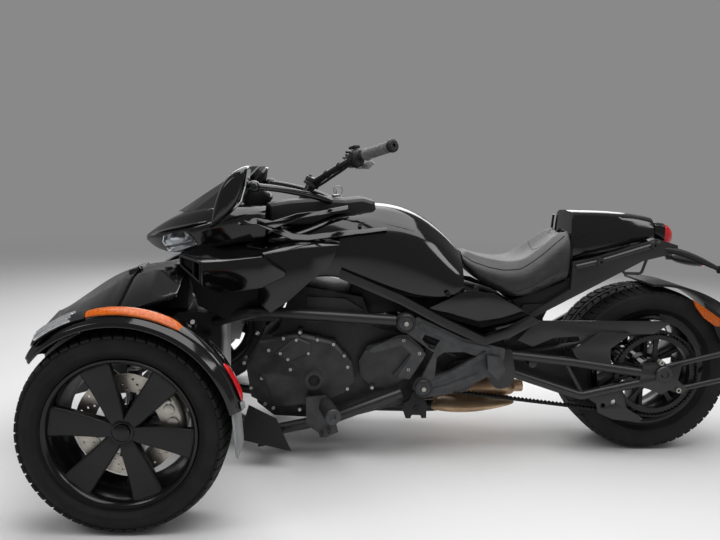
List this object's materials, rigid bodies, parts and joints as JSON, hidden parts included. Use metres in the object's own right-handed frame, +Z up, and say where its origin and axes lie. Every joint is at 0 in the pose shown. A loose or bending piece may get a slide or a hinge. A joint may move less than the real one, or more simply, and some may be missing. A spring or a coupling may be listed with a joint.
{
  "type": "motorized trike",
  "caption": "Low motor trike with steered front wheels under arched fenders, a belt-driven rear wheel, a sculpted cowl, a scooped seat and a lidded front locker.",
  "frame": {"origin": "on the floor under the middle of the vehicle's box", "axes": "+Z up; the vehicle faces -X and its left side is -Y"},
  "size_m": [2.642, 1.497, 1.099],
  "materials": {
    "gloss_black": "gloss",
    "frame_black": "satin",
    "cast_grey": "satin",
    "engine_dark": "matt",
    "spring_black": "gloss",
    "belt_rubber": "matt",
    "heat_tinted_steel": "brushed, heat tinted",
    "black_plastic": "matt",
    "lamp_glass": "clear",
    "smoked_screen": "smoked",
    "seat_cover": "satin grain",
    "red_lens": "gloss",
    "amber_lens": "gloss",
    "grip_rubber": "matt",
    "forged_steel": "satin",
    "tyre_rubber": "matt",
    "wheel_black": "gloss"
  },
  "bodies": {
    "chassis": {"front_subframe": "frame_black", "suspension_arms": "frame_black", "front_shocks": "spring_black", "frame_tubes": "frame_black", "side_castings": "cast_grey", "engine_block": "engine_dark", "engine_covers": "engine_dark", "swingarm": "frame_black", "drive_belt": "belt_rubber", "front_pulley": "frame_black", "rear_shock": "spring_black", "muffler": "heat_tinted_steel", "storage_tub": "black_plastic", "nose_fascia": "black_plastic", "hood_shroud": "gloss_black", "headlight_cowl": "gloss_black", "headlights": "lamp_glass", "windscreen": "smoked_screen", "tank_cover": "gloss_black", "console": "black_plastic", "side_intakes": "gloss_black", "side_panels": "gloss_black", "seat": "seat_cover", "seat_base": "black_plastic", "tail_cowl": "gloss_black", "tail_frame": "frame_black", "rack_bosses": "frame_black", "rear_lamps": "red_lens", "rear_fender": "black_plastic", "plate_holder": "frame_black", "footpegs": "cast_grey", "splash_flaps": "black_plastic", "mirrors": "gloss_black"},
    "handlebar": {"handlebar": "frame_black", "controls": "grip_rubber"},
    "storage_lid": {"storage_lid": "gloss_black"},
    "pitman_arm": {"pitman_arm": "forged_steel"},
    "knuckle_left": {"knuckle_left": "forged_steel", "fender_left": "gloss_black", "fender_lamp_left": "amber_lens"},
    "tie_rod_left": {"tie_rod_left": "forged_steel"},
    "front_wheel_left": {"front_left_tyre": "tyre_rubber", "front_left_wheel": "wheel_black"},
    "knuckle_right": {"knuckle_right": "forged_steel", "fender_right": "gloss_black", "fender_lamp_right": "amber_lens"},
    "tie_rod_right": {"tie_rod_right": "forged_steel"},
    "front_wheel_right": {"front_right_tyre": "tyre_rubber", "front_right_wheel": "wheel_black"},
    "rear_wheel": {"rear_tyre": "tyre_rubber", "rear_wheel": "wheel_black"}
  },
  "joints": [
    {"name": "steering", "type": "hinge", "parent": "chassis", "child": "handlebar", "pos_m": [-0.441, 0, 0.895], "axis": [0.454, 0, 0.891], "range_deg": [-30, 30]},
    {"name": "pitman_turn", "type": "hinge", "parent": "chassis", "child": "pitman_arm", "pos_m": [-0.861, 0, 0.254], "axis": [0, 0, 1], "range_deg": [-30, 30]},
    {"name": "lid_hinge", "type": "hinge", "parent": "chassis", "child": "storage_lid", "pos_m": [-1.017, 0, 0.625], "axis": [0, 1, 0], "range_deg": [0, 55]},
    {"name": "rear_wheel_spin", "type": "hinge", "parent": "chassis", "child": "rear_wheel", "pos_m": [0.818, 0, 0.303], "axis": [0, 1, 0], "continuous": true},
    {"name": "steer_left", "type": "hinge", "parent": "chassis", "child": "knuckle_left", "pos_m": [-0.891, -0.575, 0.281], "axis": [0, 0, 1], "range_deg": [-30, 30]},
    {"name": "tie_rod_left_eye", "type": "hinge", "parent": "knuckle_left", "child": "tie_rod_left", "pos_m": [-0.991, -0.595, 0.254], "axis": [0, 0, 1], "range_deg": [-30, 30]},
    {"name": "wheel_left_spin", "type": "hinge", "parent": "knuckle_left", "child": "front_wheel_left", "pos_m": [-0.891, -0.654, 0.281], "axis": [0, 1, 0], "continuous": true},
    {"name": "steer_right", "type": "hinge", "parent": "chassis", "child": "knuckle_right", "pos_m": [-0.891, 0.575, 0.281], "axis": [0, 0, 1], "range_deg": [-30, 30]},
    {"name": "tie_rod_right_eye", "type": "hinge", "parent": "knuckle_right", "child": "tie_rod_right", "pos_m": [-0.991, 0.595, 0.254], "axis": [0, 0, 1], "range_deg": [-30, 30]},
    {"name": "wheel_right_spin", "type": "hinge", "parent": "knuckle_right", "child": "front_wheel_right", "pos_m": [-0.891, 0.654, 0.281], "axis": [0, 1, 0], "continuous": true}
  ],
  "couplings": [
    {"joint": "pitman_turn", "follows": "steering", "ratio": 1},
    {"joint": "steer_left", "follows": "steering", "ratio": 1},
    {"joint": "tie_rod_left_eye", "follows": "steering", "ratio": -1},
    {"joint": "steer_right", "follows": "steering", "ratio": 1},
    {"joint": "tie_rod_right_eye", "follows": "steering", "ratio": -1}
  ]
}
